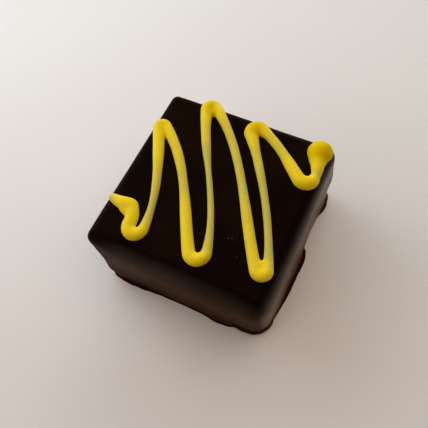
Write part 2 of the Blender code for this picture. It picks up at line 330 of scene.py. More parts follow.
class GeometryRecipe(NodeSheet):
    """A Geometry Nodes tree with named inputs, which is run once on a piece."""

    def __init__(self, name: str) -> None:
        """Starts the tree.

        Args:
            name: The tree's name.
        """
        super().__init__(bpy.data.node_groups.new(name, "GeometryNodeTree"))
        for way in ("INPUT", "OUTPUT"):
            self.tree.interface.new_socket(name="Geometry", in_out=way, socket_type="NodeSocketGeometry")
        self.start = self.tree.nodes.new("NodeGroupInput")
        self.values: dict[str, object] = {}

    def enter(self, name: str, kind: str, value: object) -> bpy.types.NodeSocket:
        """Adds a named input to the tree.

        Args:
            name: The input's name.
            kind: Its socket's type.
            value: What it is when the tree runs.

        Returns:
            The input's socket inside the tree.
        """
        item = self.tree.interface.new_socket(name=name, in_out="INPUT", socket_type=kind)
        self.values[item.identifier] = value
        return self.start.outputs[name]

    def size(self, name: str, value: float) -> bpy.types.NodeSocket:
        """Adds a named number to the tree's inputs."""
        return self.enter(name, "NodeSocketFloat", float(value))

    def named(self, attribute: str) -> bpy.types.NodeSocket:
        """The socket of a number stored on the geometry."""
        return self.add("GeometryNodeInputNamedAttribute", {"Name": attribute}, data_type="FLOAT").outputs[0]

    def moved(self, geometry: bpy.types.NodeSocket, way: str, value: Feed) -> bpy.types.NodeSocket:
        """Moves a geometry's points, where way is Offset for a shift and Position for new places."""
        return self.add("GeometryNodeSetPosition", {"Geometry": geometry, way: value}).outputs[0]

    def evened(self, value: Feed, rounds: int, kind: str) -> bpy.types.NodeSocket:
        """A value, of a data type, that is evened out over a mesh by rounds of blurring."""
        feeds = {"Value": value, "Iterations": rounds}
        return self.add("GeometryNodeBlurAttribute", feeds, data_type=kind).outputs[0]

    def end(self, geometry: bpy.types.NodeSocket, finish: bpy.types.Material) -> None:
        """Smooths and dresses the result and closes the tree.

        Args:
            geometry: What the tree has made.
            finish: Its material.
        """
        skin = self.enter("Finish", "NodeSocketMaterial", finish)
        real = self.add("GeometryNodeRealizeInstances", {"Geometry": geometry})
        smooth = self.add("GeometryNodeSetShadeSmooth", {"Geometry": real.outputs[0]})
        dressed = self.add("GeometryNodeSetMaterial", {"Geometry": smooth.outputs[0], "Material": skin})
        self.add("NodeGroupOutput", {"Geometry": dressed.outputs[0]})

    def run(self, piece: bpy.types.Object) -> None:
        """Runs the tree on a piece and leaves the piece with the plain mesh that it makes.

        Args:
            piece: A linked mesh object.
        """
        modifier = piece.modifiers.new(self.tree.name, "NODES")
        modifier.node_group = self.tree
        for identifier, value in self.values.items():
            modifier[identifier] = value
        evaluated = piece.evaluated_get(bpy.context.evaluated_depsgraph_get())
        made = bpy.data.meshes.new_from_object(evaluated)
        piece.modifiers.clear()
        made.name = piece.name
        piece.data = made


def linked_object(name: str, mesh: bpy.types.Mesh) -> bpy.types.Object:
    """Puts a mesh into the scene.

    Args:
        name: The object's name.
        mesh: What it shows.

    Returns:
        The new object.
    """
    made = bpy.data.objects.new(name, mesh)
    bpy.context.scene.collection.objects.link(made)
    return made


def hand_over(piece: bpy.types.Object) -> None:
    """Puts a finished piece in the candy's place.

    Args:
        piece: The piece.
    """
    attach(piece, BODY)
    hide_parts(CAD_NODE)
    log.info("%s: %d faces", piece.name, len(piece.data.polygons))


class Finish:
    """A material that starts with one Principled shader on Object coordinates."""

    def __init__(self, name: str) -> None:
        """Starts the material.

        Args:
            name: The material's name.
        """
        self.material = bpy.data.materials.new(name)
        self.material.use_nodes = True
        self.sheet = NodeSheet(self.material.node_tree)
        self.shader = self.sheet.tree.nodes["Principled BSDF"]
        self.place = self.sheet.add("ShaderNodeTexCoord").outputs["Object"]

    def set(self, name: str, value: Feed) -> None:
        """Sets or links one of the shader's inputs."""
        self.sheet.feed(self.shader.inputs[name], value)

    def relief(self, height: Feed, depth: float, under: Feed | None = None) -> bpy.types.NodeSocket:
        """Fine relief that is too small to be modelled.

        Args:
            height: The relief, from 0 to 1.
            depth: How deep it is, in millimetres.
            under: The normal that it is laid over, if there is one.

        Returns:
            The normal's socket.
        """
        feeds = {"Height": height, "Distance": depth * MM, "Strength": 1.0}
        if under is not None:
            feeds["Normal"] = under
        return self.sheet.add("ShaderNodeBump", feeds).outputs["Normal"]


@dataclass(frozen=True)
class ChocolateFinish:
    """Set dark chocolate: nearly black brown with a satin skin, and faint clouds where it cooled.

    Down the sides, between two set heights, the coat turns a lighter brown: partly the chocolate's own brown
    and partly painted bounce light from the table. Just above the table it goes back to near black, a
    painted contact shade along the foot. Over a set stretch of X the +X side gets shinier and a still
    lighter brown, which is a painted reflection of the table. A span is the part of a noise's range that a
    change runs over.
    """

    deep: Colour = (0.0165, 0.0104, 0.0066)
    warm: Colour = (0.0230, 0.0138, 0.0082)
    # Brown of the sides, partly the chocolate's own and partly painted bounce light from the table.
    brown_and_bounce: Colour = (0.0650, 0.0285, 0.0085)
    # A still lighter brown on the +X side, painted there as a reflection of the table.
    painted_reflection_brown: Colour = (0.1250, 0.0500, 0.0080)
    # The brown and its painted bounce light grow between these heights, from the top down.
    brown_bounce_from: float = 16.4
    brown_bounce_to: float = 9.0
    # Between these heights the sides fade back to near black: a painted contact shade at the foot.
    foot_shade_from: float = 0.27
    foot_shade_top: float = 0.9
    cloud_size: float = 6.0
    cloud_span: Pair = (0.30, 0.70)
    cloud_share: float = 0.6
    patch_span: Pair = (0.20, 0.80)
    # The least share of that brown and painted bounce, where the clouds thin it.
    least_brown_bounce: float = 0.6
    mark_size: float = 1.1
    mark_depth: float = 0.003
    rough_span: Pair = (0.32, 0.68)
    smooth: float = 0.54
    dull: float = 0.66
    # Along X, where the +X side turns glossier and takes its painted reflection.
    gloss_and_reflection_from: float = 13.1
    gloss_and_reflection_to: float = 14.5
    shine: float = 0.60
    skin_size: float = 0.55
    skin_depth: float = 0.006
    gloss: float = 0.38
    refraction: float = 1.45

    def build(self) -> bpy.types.Material:
        """Makes the material.

        Returns:
            The material.
        """
        made = Finish("dark_chocolate_skin")
        sheet = made.sheet
        clouds = sheet.noise(made.place, self.cloud_size, detail=3.0, seed=1.0)
        marks = sheet.noise(made.place, self.mark_size, detail=4.0, seed=2.0)
        place = sheet.add("ShaderNodeSeparateXYZ", {"Vector": made.place}).outputs
        # Towards +X: less roughness, and the lighter brown of the painted reflection.
        side = sheet.spread(place["X"], self.gloss_and_reflection_from * MM, self.gloss_and_reflection_to * MM)
        thick = sheet.blend(sheet.spread(clouds, *self.cloud_span), (*self.deep, 1.0), (*self.warm, 1.0))
        # The sides' brown and painted bounce light, with the +X side's painted reflection blended in.
        thin = sheet.blend(side, (*self.brown_and_bounce, 1.0), (*self.painted_reflection_brown, 1.0))
        # Painted bounce light: the brown grows from just under the top edge down the sides.
        low = sheet.spread(place["Z"], self.brown_bounce_to * MM, self.brown_bounce_from * MM, 1.0, 0.0)
        # Painted contact shade: near black again just above the table.
        above_foot_shade = sheet.spread(place["Z"], self.foot_shade_from * MM, self.foot_shade_top * MM)
        patches = sheet.spread(clouds, *self.patch_span, self.least_brown_bounce, 1.0)
        share = sheet.maths("MULTIPLY", sheet.maths("MULTIPLY", low, above_foot_shade), patches)
        made.set("Base Color", sheet.blend(share, thick, thin))
        large = sheet.maths("MULTIPLY", clouds, self.cloud_share)
        small = sheet.maths("MULTIPLY", marks, 1.0 - self.cloud_share)
        rough = sheet.spread(sheet.maths("ADD", large, small), *self.rough_span, self.smooth, self.dull)
        sheen = sheet.spread(side, 0.0, 1.0, 1.0, self.shine)
        made.set("Roughness", sheet.maths("MULTIPLY", rough, sheen))
        made.set("IOR", self.refraction)
        made.set("Specular IOR Level", self.gloss)
        grain = sheet.noise(made.place, self.skin_size, detail=3.0, seed=3.0)
        skin = made.relief(grain, self.skin_depth)
        made.set("Normal", made.relief(marks, self.mark_depth, skin))
        return made.material


@dataclass(frozen=True)
class IcingFinish:
    """Set icing: lemon paled by a painted sheen where the line is thin, yellow where full, golden where
    thickest.
    """

    # Lemon of the thin strands, made paler and bluer as a painted sheen on top of its own colour.
    lemon_and_sheen: Colour = (0.600, 0.545, 0.140)
    yellow: Colour = (0.900, 0.710, 0.062)
    golden: Colour = (0.730, 0.535, 0.008)
    thin: float = 0.58
    full: float = 0.95
    thick: float = 1.38
    mottle: float = 0.03
    mottle_size: float = 2.2
    mottle_span: Pair = (0.3, 0.7)
    smooth: float = 0.44
    dull: float = 0.54
    grain_size: float = 0.35
    grain_depth: float = 0.004
    gloss: float = 0.3
    translucence: float = 0.55
    glow: Colour = (1.0, 0.7, 0.15)
    glow_reach: float = 1.1

    def build(self) -> bpy.types.Material:
        """Makes the material.

        Returns:
            The material.
        """
        made = Finish("yellow_icing_skin")
        sheet = made.sheet
        width = sheet.add("ShaderNodeAttribute", attribute_name=IcingLine.TINT).outputs["Fac"]
        patches = sheet.noise(made.place, self.mottle_size, detail=3.0, seed=5.0)
        stray = sheet.spread(patches, *self.mottle_span, -self.mottle, self.mottle)
        straying = sheet.maths("ADD", width, sheet.maths("MULTIPLY", stray, MM))
        paler = sheet.spread(straying, self.thin * MM, self.full * MM)
        deeper = sheet.spread(straying, self.full * MM, self.thick * MM)
        # The thin parts take the lemon with its painted sheen.
        line = sheet.blend(paler, (*self.lemon_and_sheen, 1.0), (*self.yellow, 1.0))
        made.set("Base Color", sheet.blend(deeper, line, (*self.golden, 1.0)))
        made.set("Roughness", sheet.spread(patches, *self.mottle_span, self.smooth, self.dull))
        made.set("Specular IOR Level", self.gloss)
        made.set("Subsurface Weight", self.translucence)
        made.set("Subsurface Radius", self.glow)
        made.set("Subsurface Scale", self.glow_reach * MM)
        grain = sheet.noise(made.place, self.grain_size, detail=3.0, seed=6.0)
        made.set("Normal", made.relief(grain, self.grain_depth))
        return made.material


@dataclass(frozen=True)
class FleckFinish:
    """The pale fleck that dry icing or sugar leaves on chocolate."""

    pale: Colour = (0.14, 0.125, 0.105)
    brown: Colour = (0.085, 0.066, 0.048)
    patch_size: float = 0.2
    patch_span: Pair = (0.35, 0.65)
    roughness: float = 0.7

    def build(self) -> bpy.types.Material:
        """Makes the material.

        Returns:
            The material.
        """
        made = Finish("pale_fleck")
        sheet = made.sheet
        share = sheet.spread(sheet.noise(made.place, self.patch_size, seed=8.0), *self.patch_span)
        made.set("Base Color", sheet.blend(share, (*self.brown, 1.0), (*self.pale, 1.0)))
        made.set("Roughness", self.roughness)
        return made.material


@dataclass(frozen=True)
class TableFinish:
    """A plain pale table top with a faint sheen."""

    colour: Colour = (0.84, 0.84, 0.84)
    shade: Colour = (0.82, 0.82, 0.82)
    patch_size: float = 40.0
    patch_span: Pair = (0.3, 0.7)
    roughness: float = 0.5
    gloss: float = 0.3

    def build(self) -> bpy.types.Material:
        """Makes the material.

        Returns:
            The material.
        """
        made = Finish("pale_table")
        sheet = made.sheet
        share = sheet.spread(sheet.noise(made.place, self.patch_size, seed=9.0), *self.patch_span)
        made.set("Base Color", sheet.blend(share, (*self.colour, 1.0), (*self.shade, 1.0)))
        made.set("Roughness", self.roughness)
        made.set("Specular IOR Level", self.gloss)
        return made.material


@dataclass(frozen=True)
class Bulge:
    """A low bulge of the sides at a place round the block and a level, with how far it reaches both ways."""

    place: float
    reach: float
    level: float
    spread: float
    depth: float


BULGES: tuple[Bulge, ...] = (
    Bulge(place=0.0, reach=0.07, level=4.2, spread=2.2, depth=0.28),
    Bulge(place=2.0, reach=0.10, level=9.0, spread=3.2, depth=0.36),
)


@dataclass
class Coating:
    """The chocolate that covers the caramel: leaning sides, soft edges, a flat top and a thin uneven foot.

    The lump is the one at the foot of the front corner, with a crease above it. The skin is calm below the
    height calm_below and has its full unevenness above uneven_above.
    """

    finish: bpy.types.Material
    height: float = 17.3
    smallest_round: float = 0.25
    arc_steps: int = 16
    side_steps: int = 60
    foot_steps: int = 16
    wall_steps: int = 30
    edge_steps: int = 14
    top_steps: int = 34
    base_steps: int = 6
    wall_easing: float = 1.5
    foot_waver: float = 0.05
    wavering_foot: float = 0.4
    lump_place: float = 0.965
    lump_reach: float = 0.065
    lump_level: float = 1.9
    lump_spread: float = 1.0
    lump_pitch: float = 2.2
    lump_depth: float = 0.50
    top_swell: float = 0.05
    wave_depth: float = 0.16
    wave_size: float = 7.0
    dimple_depth: float = 0.03
    dimple_size: float = 1.8
    calm_below: float = 0.21
    uneven_above: float = 1.12
    swell_top: float = 6.0

    def ring(self, rows: list[Circle]) -> tuple[np.ndarray, np.ndarray, np.ndarray]:
        """A square with round corners.

        Args:
            rows: Each corner's x, y and radius, in the order of Side.

        Returns:
            Points, outward directions and places round the block.
        """
        points, outward, places = [], [], []
        for k, (side, (x, y, radius)) in enumerate(zip(Side, rows)):
            arc = np.radians(side.value + 90.0 * np.arange(self.arc_steps + 1) / self.arc_steps)
            out = np.column_stack([np.cos(arc), np.sin(arc)])
            points.append(brought_in(x, y, radius) + radius * out)
            outward.append(out)
            places.append(np.full(len(arc), float(k)))
            next_x, next_y, next_radius = rows[(k + 1) % len(rows)]
            end = brought_in(next_x, next_y, next_radius) + next_radius * out[-1]
            t = np.arange(1, self.side_steps)[:, None] / self.side_steps
            points.append(points[-1][-1] * (1.0 - t) + end * t)
            outward.append(np.repeat(out[-1:], len(t), axis=0))
            places.append(k + t[:, 0])
        return np.concatenate(points), np.concatenate(outward), np.concatenate(places)

    def corner_rows(self, heights: np.ndarray | list[float], insets: list[float]) -> list[Circle]:
        """The block's corners at a height each, brought in by an inset each.

        Args:
            heights: One height for each corner.
            insets: One inset for each corner.

        Returns:
            Each corner's x, y and radius.
        """
        rows = []
        for corner, z, inset in zip(CORNERS.values(), heights, insets):
            t = z / self.height
            x, y = (corner.base[k] * (1.0 - t) + corner.top[k] * t for k in (0, 1))
            radius = corner.base_round * (1.0 - t) + corner.top_round * t - inset
            rows.append((*brought_in(x, y, inset), max(radius, self.smallest_round)))
        return rows

    def swelling(self, places: np.ndarray, level: np.ndarray | float) -> np.ndarray:
        """How far the sides swell out.

        Args:
            places: Places round the block.
            level: One height for all of them, or one for each.

        Returns:
            One swelling for each place.
        """
        out = eased(SWELLS, places) * np.clip(1.0 - level / self.swell_top, 0.0, 1.0) ** 2
        half_way = 0.5 * len(CORNERS)
        for bulge in BULGES:
            across = (places - bulge.place + half_way) % len(CORNERS) - half_way
            up = (level - bulge.level) / bulge.spread
            out = out + bulge.depth * np.exp(-((across / bulge.reach) ** 2) - up**2)
        return out

    def foot_rings(self) -> list[np.ndarray]:
        """The foot from the table up, where its edge wavers a little more than its widths say.

        Returns:
            The rings, lowest first.
        """
        rings = []
        top = FOOT_SECTION[-1][0]
        for step in range(self.foot_steps + 1):
            z = top * step / self.foot_steps
            points, outward, places = self.ring(self.corner_rows([z] * len(CORNERS), [0.0] * len(CORNERS)))
            width = eased(FOOT_WIDTHS, places)
            waver = sum(part * np.sin(pace * places + start) for part, pace, start in FOOT_WAVERS)
            width = width + self.foot_waver * waver * np.clip(width / self.wavering_foot, 0.0, 1.0)
            share = flowing(FOOT_SECTION, np.array([z]))[0]
            points = points + outward * (width * max(share, 0.0) + self.swelling(places, z))[:, None]
            rings.append(np.column_stack([points, np.full(len(points), z)]))
        return rings

    def levels(self, places: np.ndarray, wall_share: float, edge_share: float) -> np.ndarray:
        """The level at each place of a ring.

        Args:
            places: Places round the block.
            wall_share: How far up the wall the ring is.
            edge_share: How far up the rounding above the wall it is.

        Returns:
            One level for each place.
        """
        depth = eased(EDGE_DEPTHS, places)
        low = FOOT_SECTION[-1][0]
        return low + (self.height - depth - low) * wall_share + depth * edge_share

    def wall_rings(self) -> list[np.ndarray]:
        """The sides above the foot, with the lump and crease where the coating gathered at the front corner.

        Returns:
            The rings, lowest first, which lie closer together low down.
        """
        rings = []
        corner_places = np.arange(len(CORNERS))
        for step in range(1, self.wall_steps):
            share = (step / self.wall_steps) ** self.wall_easing
            heights = self.levels(corner_places, share, 0.0)
            points, outward, places = self.ring(self.corner_rows(heights, [0.0] * len(CORNERS)))
            level = self.levels(places, share, 0.0)
            near = np.exp(-(((places - self.lump_place) / self.lump_reach) ** 2))
            near = near * np.exp(-(((level - self.lump_level) / self.lump_spread) ** 2))
            ripple = np.sin(2.0 * math.pi * (level - self.lump_level) / self.lump_pitch)
            swell = self.swelling(places, level) - self.lump_depth * near * ripple
            points = points + outward * swell[:, None]
            rings.append(np.column_stack([points, level]))
        return rings

    def edge_rings(self) -> list[np.ndarray]:
        """The rounding from the sides to the top, which reaches further down on the two front sides.

        Returns:
            The rings, lowest first.
        """
        rings = []
        corner_places = np.arange(len(CORNERS))
        edge = [corner.edge_round for corner in CORNERS.values()]
        for step in range(self.edge_steps + 1):
            angle = 0.5 * math.pi * step / self.edge_steps
            heights = self.levels(corner_places, 1.0, math.sin(angle))
            insets = [e * (1.0 - math.cos(angle)) for e in edge]
            points, _, places = self.ring(self.corner_rows(heights, insets))
            rings.append(np.column_stack([points, self.levels(places, 1.0, math.sin(angle))]))
        return rings

    def inner_rings(self, rim: np.ndarray, steps: int, swell: float) -> list[np.ndarray]:
        """Rings that close a flat face from its rim to near its middle.

        Args:
            rim: The outer ring.
            steps: How many rings there are, with the rim counted.
            swell: How much higher the middle is than the rim.

        Returns:
            The rings inside the rim, outermost first.
        """
        rings = []
        for step in range(1, steps):
            scale = 1.0 - step / steps
            ring = rim.copy()
            ring[:, :2] *= scale
            ring[:, 2] += swell * (1.0 - scale**2)
            rings.append(ring)
        return rings

    def build(self) -> bpy.types.Object:
        """Makes the coating.

        Returns:
            The piece.
        """
        sides = self.foot_rings() + self.wall_rings() + self.edge_rings()
        base = self.inner_rings(sides[0], self.base_steps, 0.0)[::-1]
        top = self.inner_rings(sides[-1], self.top_steps, self.top_swell)
        shape = bmesh.new()
        rows = [[shape.verts.new(point * MM) for point in ring] for ring in base + sides + top]
        count = len(rows[0])
        for low, high in zip(rows, rows[1:]):
            for k in range(count):
                shape.faces.new((low[k], low[(k + 1) % count], high[(k + 1) % count], high[k]))
        for row in (rows[0], rows[-1]):
            tip = shape.verts.new(np.mean([np.array(v.co) for v in row], axis=0))
            for k in range(count):
                shape.faces.new((row[k], row[(k + 1) % count], tip))
        bmesh.ops.recalc_face_normals(shape, faces=shape.faces)
        mesh = bpy.data.meshes.new("coating_shape")
        shape.to_mesh(mesh)
        shape.free()
        piece = linked_object("chocolate_coating", mesh)
        self.unevenness().run(piece)
        return piece

    def unevenness(self) -> GeometryRecipe:
        """The Geometry Nodes tree that gives the skin its slow waves and small dimples.

        Returns:
            The tree, which leaves the underside flat.
        """
        recipe = GeometryRecipe("coating_unevenness")
        place = recipe.add("GeometryNodeInputPosition").outputs[0]
        out = recipe.add("GeometryNodeInputNormal").outputs[0]
        height = recipe.add("ShaderNodeSeparateXYZ", {"Vector": place}).outputs["Z"]
        calm = recipe.size("Calm Below", self.calm_below * MM)
        uneven = recipe.size("Uneven Above", self.uneven_above * MM)
        rises = []
        for name, depth, size, seed in (
            ("Wave", self.wave_depth, self.wave_size, 11.0),
            ("Dimple", self.dimple_depth, self.dimple_size, 12.0),
        ):
            tall = recipe.size(f"{name} Depth", depth * MM)
            wide = recipe.size(f"{name} Size", size * MM)
            feeds = {"Vector": place, "W": seed, "Scale": recipe.maths("DIVIDE", 1.0, wide), "Detail": 1.0}
            noise = recipe.add("ShaderNodeTexNoise", feeds, noise_dimensions="4D").outputs[0]
            rises.append(recipe.maths("MULTIPLY", recipe.maths("SUBTRACT", noise, 0.5), tall))
        rise = recipe.maths("MULTIPLY", recipe.maths("ADD", *rises), recipe.spread(height, calm, uneven))
        offset = recipe.add("ShaderNodeVectorMath", {"Scale": rise}, operation="SCALE")
        recipe.feed(offset.inputs[0], out)
        recipe.end(recipe.moved(recipe.start.outputs["Geometry"], "Offset", offset.outputs[0]), self.finish)
        return recipe


@dataclass
class IcingLine:
    """The piped icing, one bead from its thin tail at the left edge to the blob at the right corner.

    Along a strand, strand_places are where the nozzle leaves one bend and reaches the next, and bead_places
    are where the strand's beads are its half width. The path sits in the bead so that its top is rise half
    widths above the block, and less where the bead is wide and has flattened. Its underside reaches up to
    sunk into the coating.
    """

    finish: bpy.types.Material
    top: float = 17.3
    tail_bead: float = 0.65
    blob_bead: float = 1.93
    strand_places: Pair = (0.15, 0.85)
    bead_places: tuple[float, float, float] = (0.3, 0.5, 0.7)
    step: float = 0.12
    least_strand: int = 8
    least_bend: int = 6
    edge_round: float = 1.5
    follows_edge: float = 0.6
    rise: float = 1.12
    flattening: float = 4.0
    sunk: float = 0.45
    grain: float = 0.115
    padding: float = 0.3
    threshold: float = 0.1
    spacing: float = 0.05
    tint_evening: int = 40
    settling: int = 13
    web_share: float = 0.60
    web_steps: int = 16

    WIDTH = "half_width"
    LEVEL = "lies_at"
    TINT = "line_width"

    def pegs(self) -> list[Circle]:
        """The circles that the nozzle went round, as (x, y, radius), with clockwise ones below zero."""
        turned = [(bend.x, bend.y, bend.turn.value * bend.radius) for bend in BENDS]
        return [(*TAIL, 0.0), *turned, (*BLOB, 0.0)]

    def headings(self) -> list[Pair]:
        """The ways that the nozzle goes.

        Returns:
            Each strand's first and last heading, in radians.
        """
        pegs = self.pegs()
        made = []
        for strand, (x1, y1, r1), (x2, y2, r2) in zip(STRANDS, pegs, pegs[1:]):
            straight = math.atan2(y2 - y1, x2 - x1) + math.asin((r1 - r2) / math.hypot(x2 - x1, y2 - y1))
            made.append((straight + math.radians(strand.leaves), straight + math.radians(strand.reaches)))
        return made

    def widths(self) -> list[Pair]:
        """Half the bead's width along the piping.

        Returns:
            (place, half width) pairs. Places count strands, with a bend at each whole number.
        """
        stations = [(self.strand_places[0], self.tail_bead)]
        for k, strand in enumerate(STRANDS):
            stations += [(k + place, bead) for place, bead in zip(self.bead_places, strand.beads)]
            if k < len(BENDS):
                stations.append((k + 1.0, BENDS[k].bead))
        stations.append((len(BENDS) + self.strand_places[1], self.blob_bead))
        return stations

    @staticmethod
    def on_peg(peg: Circle, heading: np.ndarray | float) -> np.ndarray:
        """Where the nozzle is on a peg when it moves along a heading in radians, or along several."""
        x, y, radius = peg
        return np.stack([x + radius * np.sin(heading), y - radius * np.cos(heading)], axis=-1)

    def strand_points(self, k: int) -> tuple[np.ndarray, np.ndarray]:
        """Points and places along one strand.

        Args:
            k: Which strand.

        Returns:
            Its points and their places.
        """
        leaving, reaching = self.headings()[k]
        start = self.on_peg(self.pegs()[k], leaving)
        end = self.on_peg(self.pegs()[k + 1], reaching)
        reach = np.linalg.norm(end - start) / 3.0
        near = start + reach * np.array([math.cos(leaving), math.sin(leaving)])
        far = end - reach * np.array([math.cos(reaching), math.sin(reaching)])
        t = np.linspace(0.0, 1.0, max(self.least_strand, round(3.0 * reach / self.step)))[:, None]
        u = 1.0 - t
        points = start * u**3 + 3.0 * near * t * u**2 + 3.0 * far * t**2 * u + end * t**3
        first, last = self.strand_places
        return points, k + first + (last - first) * t[:, 0]

    def bend_points(self, k: int) -> tuple[np.ndarray, np.ndarray]:
        """Points and places round one bend, without its two ends.

        Args:
            k: Which bend.

        Returns:
            Its points and their places.
        """
        peg = self.pegs()[k + 1]
        heading = self.headings()[k][1]
        onward = self.headings()[k + 1][0]
        way = math.copysign(1.0, peg[2])
        turn = way * ((way * (onward - heading)) % (2.0 * math.pi))
        steps = max(self.least_bend, round(abs(turn * peg[2]) / self.step))
        t = np.arange(1, steps) / steps
        room = 1.0 - self.strand_places[1]
        return self.on_peg(peg, heading + turn * t), k + 1.0 - room + 2.0 * room * t

    def web_rows(self, k: int) -> list[np.ndarray]:
        """Short rows of points across the inside of one bend, where its two strands have run together.

        Args:
            k: Which bend.

        Returns:
            The row from strand to strand, and the one from its middle to the middle of the bend.
        """
        bend = BENDS[k]
        hub = np.array([bend.x, bend.y])
        coming = self.headings()[k][1]
        going = self.headings()[k + 1][0]
        inward = np.array([math.cos(going) - math.cos(coming), math.sin(going) - math.sin(coming)])
        inward = inward / np.linalg.norm(inward)
        middle = hub + (bend.fill - self.web_share * bend.bead) * inward
        across = bend.radius * np.array([-inward[1], inward[0]])
        back = hub - bend.radius * inward - middle
        t = np.linspace(0.0, 1.0, self.web_steps)[:, None]
        return [middle + across * (2.0 * t - 1.0), middle + back * t]

    def edge_drop(self, points: np.ndarray) -> np.ndarray:
        """How far the block's top has rounded down near its edges.

        Args:
            points: Points of the nozzle's path.

        Returns:
            One drop for each point.
        """
        left = CORNERS[Side.LEFT].top
        right = CORNERS[Side.RIGHT].top
        rooms = np.concatenate([points - np.array(left), np.array(right) - points], axis=1).min(axis=1)
        across = np.clip(self.edge_round - rooms, 0.0, self.edge_round)
        return self.edge_round - np.sqrt(self.edge_round**2 - across**2)

    def line(self) -> bpy.types.Object:
        """Lays out the nozzle's path.

        Returns:
            An object of edges. It carries the bead's half width, the level it lies at and the width that its
            colour goes by, which on a web is that of the bend.
        """
        parts = []
        for k in range(len(STRANDS)):
            parts.append(self.strand_points(k))
            if k < len(BENDS):
                parts.append(self.bend_points(k))
        points = np.concatenate([part[0] for part in parts])
        widths = eased(self.widths(), np.concatenate([part[1] for part in parts]))
        tints = widths
        edges = [(i, i + 1) for i in range(len(points) - 1)]
        for k, bend in enumerate(BENDS):
            for web in self.web_rows(k) if bend.fill > 0.0 else []:
                edges += [(len(points) + i, len(points) + i + 1) for i in range(len(web) - 1)]
                points = np.concatenate([points, web])
                widths = np.concatenate([widths, np.full(len(web), self.web_share * bend.bead)])
                tints = np.concatenate([tints, np.full(len(web), bend.bead)])
        level = self.top - self.follows_edge * self.edge_drop(points)
        mesh = bpy.data.meshes.new("nozzle_path")
        mesh.from_pydata((np.column_stack([points, level]) * MM).tolist(), edges, [])
        for name, values in ((self.WIDTH, widths), (self.LEVEL, level), (self.TINT, tints)):
            mesh.attributes.new(name, "FLOAT", "POINT").data.foreach_set("value", values * MM)
        return linked_object("yellow_icing_line", mesh)

    def raised_spots(self, recipe: GeometryRecipe) -> bpy.types.NodeSocket:
        """Points along the path, each raised or sunk to the middle of the bead there.

        Args:
            recipe: The tree that they belong to.

        Returns:
            The points' socket.
        """
        spacing = recipe.size("Spacing", self.spacing * MM)
        rise = recipe.size("Rise", self.rise)
        flattening = recipe.size("Flattening", self.flattening * MM)
        width = recipe.named(self.WIDTH)
        path = recipe.add("GeometryNodeMeshToCurve", {"Mesh": recipe.start.outputs["Geometry"]})
        feeds = {"Curve": path.outputs[0], "Length": spacing}
        even = recipe.add("GeometryNodeResampleCurve", feeds, mode="LENGTH")
        spots = recipe.add("GeometryNodeCurveToPoints", {"Curve": even.outputs[0]}, mode="EVALUATED")
        sag = recipe.maths("ADD", 1.0, recipe.maths("DIVIDE", width, flattening))
        above = recipe.maths("SUBTRACT", recipe.maths("DIVIDE", rise, sag), 1.0)
        lift = recipe.add("ShaderNodeCombineXYZ", {"Z": recipe.maths("MULTIPLY", width, above)})
        return recipe.moved(spots.outputs["Points"], "Offset", lift.outputs[0])

    def nearest_values(
        self, recipe: GeometryRecipe, spots: bpy.types.NodeSocket
    ) -> dict[str, bpy.types.NodeSocket]:
        """What the path says nearest to each point of the icing's skin.

        Args:
            recipe: The tree that they belong to.
            spots: The points along the path.

        Returns:
            The socket of each of the path's attributes.
        """
        nearest = recipe.add("GeometryNodeSampleNearest", {"Geometry": spots}, domain="POINT").outputs[0]
        here = {}
        for name in (self.WIDTH, self.LEVEL, self.TINT):
            feeds = {"Geometry": spots, "Value": recipe.named(name), "Index": nearest}
            sample = recipe.add("GeometryNodeSampleIndex", feeds, data_type="FLOAT", domain="POINT")
            here[name] = sample.outputs[0]
        return here

    def pressed_places(
        self, recipe: GeometryRecipe, here: dict[str, bpy.types.NodeSocket]
    ) -> bpy.types.NodeSocket:
        """Where the skin's points lie when its underside is pressed nearly flat onto the block.

        Args:
            recipe: The tree that they belong to.
            here: What the path says nearest to each point.

        Returns:
            The places' socket.
        """
        sunk = recipe.size("Sunk", self.sunk * MM)
        place = recipe.add("GeometryNodeInputPosition").outputs[0]
        parts = recipe.add("ShaderNodeSeparateXYZ", {"Vector": place}).outputs
        above = recipe.maths("SUBTRACT", parts["Z"], here[self.LEVEL])
        squeeze = recipe.maths("DIVIDE", sunk, here[self.WIDTH])
        under = recipe.maths("MULTIPLY", recipe.maths("MINIMUM", above, 0.0), squeeze)
        over = recipe.maths("ADD", recipe.maths("MAXIMUM", above, 0.0), under)
        height = recipe.maths("ADD", over, here[self.LEVEL])
        return recipe.add("ShaderNodeCombineXYZ", {"X": parts["X"], "Y": parts["Y"], "Z": height}).outputs[0]

    def bead(self) -> GeometryRecipe:
        """The Geometry Nodes tree that piles icing round the path and lets it run together where runs touch.

        Returns:
            The tree.
        """
        recipe = GeometryRecipe("icing_bead")
        grain = recipe.size("Grain", self.grain * MM)
        spots = self.raised_spots(recipe)
        radius = recipe.maths("ADD", recipe.named(self.WIDTH), recipe.maths("MULTIPLY", grain, self.padding))
        feeds = {"Points": spots, "Voxel Size": grain, "Radius": radius}
        heap = recipe.add("GeometryNodePointsToVolume", feeds, resolution_mode="VOXEL_SIZE")
        feeds = {"Volume": heap.outputs[0], "Voxel Size": grain, "Threshold": self.threshold}
        skin = recipe.add("GeometryNodeVolumeToMesh", feeds, resolution_mode="VOXEL_SIZE")
        here = self.nearest_values(recipe, spots)
        tint = recipe.evened(here[self.TINT], self.tint_evening, "FLOAT")
        feeds = {"Geometry": skin.outputs[0], "Name": self.TINT, "Value": tint}
        tinted = recipe.add("GeometryNodeStoreNamedAttribute", feeds, data_type="FLOAT", domain="POINT")
        laid = recipe.moved(tinted.outputs[0], "Position", self.pressed_places(recipe, here))
        place = recipe.add("GeometryNodeInputPosition").outputs[0]
        soft = recipe.evened(place, self.settling, "FLOAT_VECTOR")
        recipe.end(recipe.moved(laid, "Position", soft), self.finish)
        return recipe

    def build(self) -> bpy.types.Object:
        """Makes the icing.

        Returns:
            The piece.
        """
        piece = self.line()
        self.bead().run(piece)
        return piece


